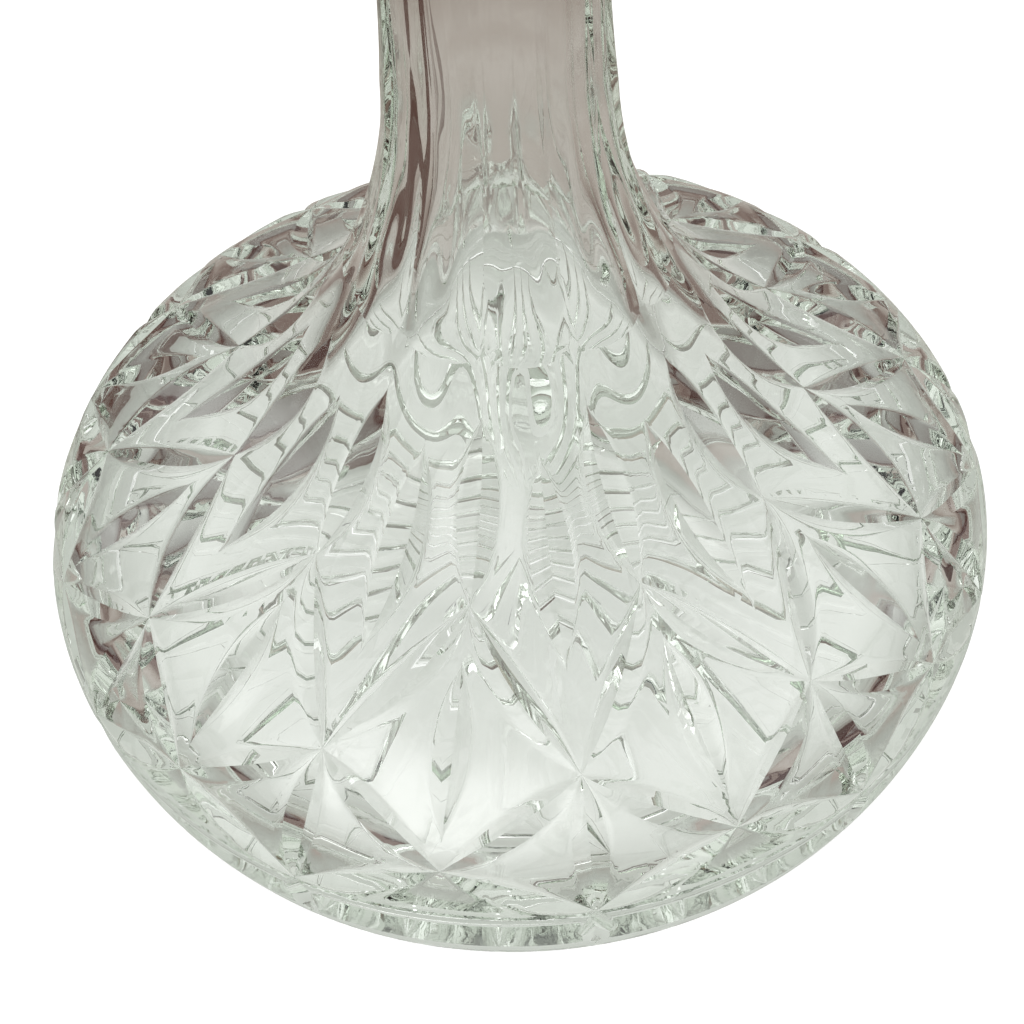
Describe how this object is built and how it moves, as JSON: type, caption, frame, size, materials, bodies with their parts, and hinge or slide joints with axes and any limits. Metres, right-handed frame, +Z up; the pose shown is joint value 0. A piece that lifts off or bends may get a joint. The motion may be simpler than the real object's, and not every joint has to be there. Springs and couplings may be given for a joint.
{
  "type": "wine decanter",
  "caption": "Squat wide-based glass decanter with a cut leaf pattern, a long panelled neck with a flared lip, and a lift-out glass stopper with a soft seal.",
  "frame": {"origin": "centre of the base, on the surface that the decanter stands on", "axes": "+Z up along the axis of the bowl and neck"},
  "size_m": [0.1996, 0.1996, 0.255],
  "materials": {
    "body_glass": "polished clear glass with crisp cut facets and a faint grey-green tint",
    "stopper_glass": "polished clear glass with cut facets, finely ground peg",
    "seal": "soft translucent polyethylene, smooth moulded"
  },
  "bodies": {
    "decanter": {"decanter_body": "body_glass"},
    "stopper_set": {"stopper": "stopper_glass", "stopper_seal": "seal"}
  },
  "joints": [
    {"name": "stopper_lift", "type": "slide", "parent": "decanter", "child": "stopper_set", "axis": [0, 0, 1], "range_m": [0, 0.06]}
  ]
}
